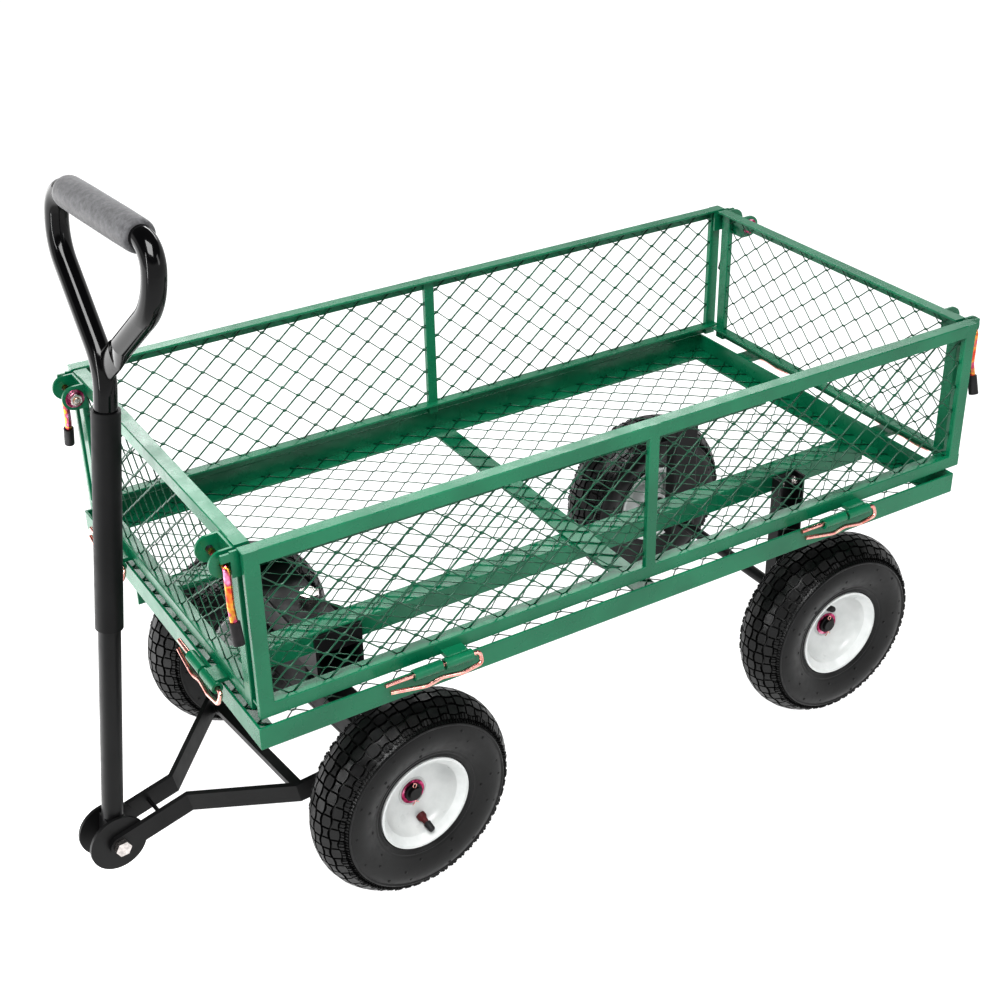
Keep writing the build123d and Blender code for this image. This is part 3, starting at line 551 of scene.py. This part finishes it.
def raiseTread(tyre, steps):
    s = tyreSizes
    per = s["facesPerBlock"]
    shoulder = s["rows"] * s["rowWidth"] - s["groove"] / 2

    def stepOf(point):
        return math.floor(turnOf(point) / math.tau * steps)

    def isBlock(face):
        middle = face.calc_center_median()
        arc = abs(arcOf(middle))
        if arc > shoulder or math.hypot(middle.x, middle.z) < s["treadFrom"]:
            return False
        inRow = s["groove"] / 2 < arc % s["rowWidth"] < s["rowWidth"] - s["groove"] / 2
        return inRow and stepOf(middle) % per != 0

    def isWithin(middle, span, start):
        return span[0] < abs(middle.y) < span[1] and math.hypot(middle.x, middle.z) > start

    def isLug(face):
        middle = face.calc_center_median()
        return isWithin(middle, s["lugSpan"], s["lugFrom"]) and stepOf(middle) % per != 0

    def isFin(face):
        middle = face.calc_center_median()
        return isWithin(middle, s["finSpan"], s["finFrom"]) and stepOf(middle) % 2 == 0

    bpy.ops.object.mode_set(mode="EDIT")
    for test, height in ((isBlock, s["depth"]), (isLug, s["lugHeight"]), (isFin, s["finHeight"])):
        pickFaces(tyre, test)
        bpy.ops.mesh.extrude_region()
        bpy.ops.transform.shrink_fatten(value=height)
    bpy.ops.object.mode_set(mode="OBJECT")
    pitch = math.tau / s["blocksAround"]
    outerRadius = s["crownCentre"] + s["crownRadius"]
    for vertex in tyre.data.vertices:       # both sets of grooves weave, so blocks bulge and pinch by turns
        arc = arcOf(vertex.co)
        fade = min(1, max(0, (shoulder + s["waveFade"] - abs(arc)) / s["waveFade"]))
        if fade and math.hypot(vertex.co.x, vertex.co.z) > s["treadFrom"]:
            column = (turnOf(vertex.co) - pitch / s["facesPerBlock"] / 2) / pitch * math.pi
            row = arc / s["rowWidth"] * math.pi
            flat = Vector((vertex.co.x, 0, vertex.co.z)).normalized()
            centre = flat * s["crownCentre"]
            lateral = s["wave"] * fade * math.sin(column) * math.cos(row) / s["crownRadius"]
            around = -s["wave"] * fade * math.cos(column) * math.sin(row) / outerRadius
            across = Matrix.Rotation(-lateral, 3, flat.cross(Vector((0, 1, 0))))
            vertex.co = Matrix.Rotation(around, 3, "Y") @ (centre + across @ (vertex.co - centre))


def addVents(tyre):
    # vent spots left by the mould, in loose rings on each wall; their near-black rubber is painted shade, so
    # that they read as dark dots
    s = tyreSizes
    scatter = random.Random(7)
    wide = s["ventRadius"]
    vent = spinOutline("vent", [(-0.8, 0), (-0.8, wide), (0.25, wide), (0.5, wide * 0.6), (0.5, 0)], 8)
    vent.data.materials.append(ventPaintedShadeRubber)
    places = []
    for side in (1, -1):
        turn = Matrix.Identity(4) if side > 0 else Matrix.Rotation(math.pi, 4, "Z")
        for count, radius, offset in ventRings:
            for i in range(count):
                angle = (i + scatter.uniform(-0.35, 0.35)) * math.tau / count
                spot = (radius + scatter.uniform(-1.5, 1.5)) * mm
                seat = Matrix.Translation((0, side * offset * mm, spot)) @ turn
                places.append(Matrix.Rotation(angle, 4, "Y") @ seat)
    vents = copyAt(vent, "vents", *places)
    bpy.data.objects.remove(vent)
    tyre.data.materials.append(tyreRubber)
    return joinPieces("tyre", [tyre, vents])


def wheelPlace(wheel):
    # left and right wheels both show their outer side, so the right ones turn half round
    joint = joints[wheel + "_wheel_spin"]
    outward = Vector(joint["axis"]) * (1 if "left" in wheel else -1)
    return axesAt(joint["pos_m"], outward, (0, 0, 1))


wheels = ("front_left", "front_right", "rear_left", "rear_right")


def placeTyres():
    tyre = addVents(makeTyre())
    softEdges(tyre, 40)
    for wheel in wheels:
        piece = copyAt(tyre, wheel + "TreadedTyre", wheelPlace(wheel))
        finishPiece(piece, None, wheel + "_wheel", "tyre_rubber", wheel + "_tyre")
    bpy.data.objects.remove(tyre)
    print("tyres done")


placeTyres()


# wheel fittings: washer and cotter pin on the axle's end, valve in the bowl

fittingSizes = {"hubFace": 4.8, "washer": 15.5, "washerHeight": 1.6, "bore": 8.3, "pinAt": 10.4,
                "valveRadius": 38, "bowlFloor": 12.0, "valveLean": 20,
                "valveTurns": {"front_left": -170, "rear_left": 20, "front_right": 120, "rear_right": -60}}


def makeWasher(name, bore, outer, low, high):
    # flat ring with its outer face's edge broken
    outline = [(low, bore), (high, bore), (high, outer - 0.4), (high - 0.3, outer), (low, outer)]
    return spinOutline(name, outline, 40)


def makeCotter():
    # split pin through the axle's end: round eye, two legs spread apart
    along = fittingSizes["pinAt"]
    half = [(0.7, 7.6), (1.2, 9.2), (3.0, 11.8)]
    eye = [(x, along, z) for x, z in half + [(0, 15.6)]] + [(-x, along, z) for x, z in reversed(half)]
    pieces = [bendWire("cotterEye", eye, 1.3)]
    for side in (1, -1):
        leg = [(0, along + side * 0.35, -7.6), (0, along + side * 0.35, -9),
               (side * 1.2, along + side * 0.6, -12.5), (side * 4.8, along + side * 0.8, -15)]
        pieces.append(bendWire("cotterLeg", leg, 1.2))
    return joinPieces("cotterPin", pieces)


def makeValve():
    # rubber dome and stem, its black cap made apart
    stem = [(-3.6, 0), (-3.6, 5.8), (0.6, 5.8), (2.0, 5.3), (3.4, 4.2), (5.4, 3.6), (13.0, 3.4),
            (13.4, 2.8), (13.4, 0)]
    cap = [(9.6, 0), (9.6, 4.1), (10.1, 4.6), (11.6, 4.6), (12.0, 4.3), (19.6, 4.1), (21.2, 3.3),
           (21.8, 1.8), (21.8, 0)]
    return spinOutline("valveStem", stem, 20), spinOutline("valveCap", cap, 20)


def placeFittings():
    s = fittingSizes
    washer = makeWasher("washer", s["bore"], s["washer"], s["hubFace"], s["hubFace"] + s["washerHeight"])
    spacer = spinOutline("spacer", [(6.5, 8.2), (9.0, 8.2), (9.0, 10.4), (8.4, 11.4), (6.5, 11.4)], 36)
    bead = spinOutline("bead", [(4.4, 17.6), (5.4, 17.9), (5.6, 18.3), (5.4, 18.7), (4.4, 19.0)], 40)
    cotter = makeCotter()
    stem, cap = makeValve()
    for wheel in wheels:
        place = wheelPlace(wheel)
        axleBody = "front_axle" if "front" in wheel else "chassis"
        for piece, name, mat, body, slot in ((washer, "HubWasher", roseZinc, axleBody, "yellow_zinc"),
                                             (spacer, "HubSpacer", satinBlack, axleBody, "black_paint"),
                                             (cotter, "CotterPin", copperZinc, axleBody, "yellow_zinc"),
                                             (bead, "HubBead", rimEnamel, wheel + "_wheel", "rim_paint")):
            copy = copyAt(piece, wheel + name, place)
            softEdges(copy, 30)
            finishPiece(copy, mat, body, slot)
        turn = Matrix.Rotation(math.radians(s["valveTurns"][wheel]), 4, "Y")
        lean = Matrix.Rotation(math.radians(s["valveLean"]), 4, "X")
        seat = place @ turn @ Matrix.Translation((0, s["bowlFloor"] * mm, s["valveRadius"] * mm)) @ lean
        for piece, name, mat in ((stem, "ValveStem", valveRubber), (cap, "ValveCap", softRubber)):
            copy = copyAt(piece, wheel + name, seat)
            softEdges(copy, 30)
            finishPiece(copy, mat, wheel + "_wheel", "soft_rubber")
    for piece in (washer, spacer, bead, cotter, stem, cap):
        bpy.data.objects.remove(piece)
    print("wheel fittings done")


placeFittings()


# grip: foam tube over the loop's straight top, a little fuller in the middle

gripSizes = {"half": 84, "bore": 12.7, "radius": 18.0, "end": 16.6}


def placeGrip():
    s = gripSizes
    side = [(s["half"], s["bore"]), (s["half"], s["end"] - 1.6), (s["half"] - 0.5, s["end"] - 0.6),
            (s["half"] - 2.4, s["end"] + 0.5), (s["half"] - 7, s["radius"] - 0.35),
            (s["half"] / 2, s["radius"])]
    outline = side + [(-along, radius) for along, radius in reversed(side)]
    grip = spinOutline("foamGrip", outline, 48)
    tilt = joints["handle_tilt"]
    middle = middleOf("handle_grip")
    place = axesAt(middle, tilt["axis"], middle - Vector(tilt["pos_m"]))
    piece = copyAt(grip, "handleFoamGrip", place)
    bpy.data.objects.remove(grip)
    softEdges(piece, 50)
    finishPiece(piece, foam, "handle", "foam_grip", "handle_grip")
    print("grip done")


placeGrip()


# bolts, nuts and washers

# millimetres: each nut's radius to its corners, its height and how far its bolt stands out
boltSizes = {"legNut": (6.5, 6.0, 3.0), "legFace": 4.0, "legRise": 11, "legSteps": (-12, 12),
             "latchNut": (7.6, 5.0, 2.1), "latchFace": 196.9, "latchDrop": 15,
             "washerBore": 5.3, "washerRadius": 11.2, "washerGap": 0.05, "washerHeight": 1.2}


def makeNut(name, corner, height, stub):
    # six-sided nut on Y, standing on its inner face, with the end of the bolt out of it
    nut = startPiece(name, bpy.ops.mesh.primitive_cylinder_add, vertices=6, radius=corner * mm,
                     depth=height * mm, location=(0, height / 2 * mm, 0), rotation=(math.radians(-90), 0, 0))
    fixPlace(nut)
    bpy.ops.object.mode_set(mode="EDIT")
    pickFaces(nut, lambda f: f.normal.y > 0.9)
    bpy.ops.mesh.inset(thickness=corner * 0.12 * mm, depth=0.4 * mm)
    bpy.ops.mesh.inset(thickness=corner * 0.28 * mm)
    bpy.ops.mesh.subdivide(number_cuts=1, smoothness=0)
    bpy.ops.object.mode_set(mode="OBJECT")
    useModifier(nut, "BEVEL", width=0.35 * mm, segments=2, limit_method="ANGLE")
    bolt = spinOutline("boltEnd", [(0.5, 0), (0.5, corner * 0.5), (height + stub - 0.6, corner * 0.5),
                                   (height + stub, corner * 0.4), (height + stub, 0)], 16)
    return joinPieces(name, [nut, bolt])


def placeBolts():
    s = boltSizes
    legNut = makeNut("nut", *s["legNut"])
    latchNut = makeNut("latchNut", *s["latchNut"])
    washer = makeWasher("washer", s["washerBore"], s["washerRadius"], s["washerGap"], s["washerHeight"])
    groups = {}

    def put(piece, name, mat, body, slot, origin, across):
        up = (0, 0, 1) if abs(across[2]) < 0.9 else (1, 0, 0)
        groups.setdefault((name, mat, body, slot), []).append((piece, axesAt(origin, across, up)))

    for end, body in (("front", "chassis"), ("rear", "rear_panel")):        # inner end of each latch pin
        low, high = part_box(end + "_latch_pins")
        middleX = (low[0] + high[0]) / 2
        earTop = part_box(end + "_latch_brackets")[1][2]
        pinZ = earTop - s["latchDrop"] * mm
        for side in (1, -1):
            washerY = side * s["latchFace"] * mm
            nutY = washerY - side * s["washerHeight"] * mm
            put(washer, end + "LatchWashers", roseZinc, body, "yellow_zinc", (middleX, washerY, pinZ),
                (0, -side, 0))
            put(latchNut, end + "LatchNuts", brightZinc, body, "zinc_steel", (middleX, nutY, pinZ),
                (0, -side, 0))
    for side, name in ((1, "left"), (-1, "right")):     # legs bolted to the floor beams
        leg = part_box("rear_" + name + "_leg")
        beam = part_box(name + "_floor_beam")
        legX = (leg[0][0] + leg[1][0]) / 2
        web = beam[1][1] if side > 0 else beam[0][1]
        nutY = web + side * s["legFace"] * mm
        nutZ = beam[0][2] + s["legRise"] * mm
        for step in s["legSteps"]:
            put(legNut, "legNuts", brightZinc, "chassis", "zinc_steel", (legX + step * mm, nutY, nutZ),
                (0, side, 0))
    for (name, mat, body, slot), entries in groups.items():
        copies = [copyAt(piece, name, place) for piece, place in entries]
        joined = joinPieces(name, copies)
        softEdges(joined, 30)
        finishPiece(joined, mat, body, slot)
    for piece in (legNut, latchNut, washer):
        bpy.data.objects.remove(piece)
    print("bolts done")


placeBolts()


# stage: camera, floor and soft studio light

stage = {"lens": 58.27, "place": (0.9015, 1.5076, 1.3583), "aim": (-0.0484, -0.0565, 0.3), "roll": -1.03,
         "floor": 90.0, "floorGlow": 0.9, "frontGlow": 2.8, "glowFrom": (0.45, 0.2), "glowTo": (0.7, -0.15),
         "world": 0.1, "band": 0.95, "bandTop": 0.3, "bandFade": 0.1, "exposure": 0.12, "gamma": 0.85}

# place, aim, width and height in metres, and power in watts
softboxes = {"topBox": ((0.75, 0.95, 2.5), (0.15, 0.1, 0.3), 1.3, 1.3, 82),
             "backBox": ((-1.3, -1.55, 1.75), (-0.1, 0.25, 0.54), 1.9, 0.35, 16),
             "cornerBox": ((-0.05, -1.55, 1.45), (0.42, 0, 0.54), 0.4, 0.6, 6),
             "keyBox": ((-1.6, 2.8, 2.2), (0, 0, 0.3), 0.9, 1.6, 20),
             "stripBox": ((3.4, 0.9, 1.4), (0.4, 0, 0.6), 0.22, 2.6, 34)}


def setCamera():
    data = bpy.data.cameras.new("camera")
    data.lens = stage["lens"]
    data.sensor_width = 36
    camera = bpy.data.objects.new("camera", data)
    bpy.context.scene.collection.objects.link(camera)
    ahead = (Vector(stage["aim"]) - Vector(stage["place"])).normalized()
    turn = ahead.to_track_quat("-Z", "Y").to_matrix().to_4x4()
    roll = Matrix.Rotation(math.radians(stage["roll"]), 4, "Z")
    camera.matrix_world = Matrix.Translation(stage["place"]) @ turn @ roll
    bpy.context.scene.camera = camera


def makeFloor():
    # pale floor lit from below, brightest ahead of the cart, where it shines on the steel
    floor = startPiece("floor", bpy.ops.mesh.primitive_plane_add, size=stage["floor"])
    mat, tree, shader = startMaterial("paleFloor", Roughness=0.8)
    shader.inputs["Base Color"].default_value = hexColour("#8c8c8c")
    coords = addNode(tree, "ShaderNodeTexCoord")
    parts = addNode(tree, "ShaderNodeSeparateXYZ", {"Vector": coords.outputs["Object"]})
    masks = []
    for i, axis in enumerate("XY"):
        mask = addNode(tree, "ShaderNodeMapRange", {"Value": parts.outputs[axis]},
                       {"From Min": stage["glowFrom"][i], "From Max": stage["glowTo"][i]})
        masks.append(mask.outputs["Result"])
    both = addNode(tree, "ShaderNodeMath", operation="MULTIPLY")
    tree.links.new(masks[0], both.inputs[0])
    tree.links.new(masks[1], both.inputs[1])
    ahead = addNode(tree, "ShaderNodeMapRange", {"Value": both.outputs["Value"]},
                    {"To Min": stage["floorGlow"], "To Max": stage["frontGlow"]})
    shader.inputs["Emission Color"].default_value = (1, 1, 1, 1)
    tree.links.new(ahead.outputs["Result"], shader.inputs["Emission Strength"])
    floor.data.materials.append(mat)


def addSoftbox(name, place, aim, width, height, power):
    data = bpy.data.lights.new(name, "AREA")
    data.shape = "RECTANGLE"
    data.size = width
    data.size_y = height
    data.energy = power
    lamp = bpy.data.objects.new(name, data)
    bpy.context.scene.collection.objects.link(lamp)
    lamp.location = place
    lamp.visible_camera = False
    lamp.rotation_euler = (Vector(aim) - Vector(place)).to_track_quat("-Z", "Y").to_euler()


def setLight():
    world = bpy.data.worlds.new("studio")
    bpy.context.scene.world = world
    world.use_nodes = True
    sky = world.node_tree.nodes["Background"]
    sky.inputs["Color"].default_value = (1, 1, 1, 1)
    tree = world.node_tree                  # bright round the horizon, dim overhead
    coords = addNode(tree, "ShaderNodeTexCoord")
    parts = addNode(tree, "ShaderNodeSeparateXYZ", {"Vector": coords.outputs["Generated"]})
    height = addNode(tree, "ShaderNodeMapRange", {"Value": parts.outputs["Z"]},
                     {"From Min": stage["bandTop"], "From Max": stage["bandTop"] + stage["bandFade"],
                      "To Min": stage["band"], "To Max": stage["world"]})
    tree.links.new(height.outputs["Result"], sky.inputs["Strength"])
    for name, settings in softboxes.items():
        addSoftbox(name, *settings)


setCamera()
makeFloor()
setLight()
view = bpy.context.scene.view_settings
view.view_transform = "Standard"
view.exposure = stage["exposure"]
view.gamma = stage["gamma"]
print("stage done")
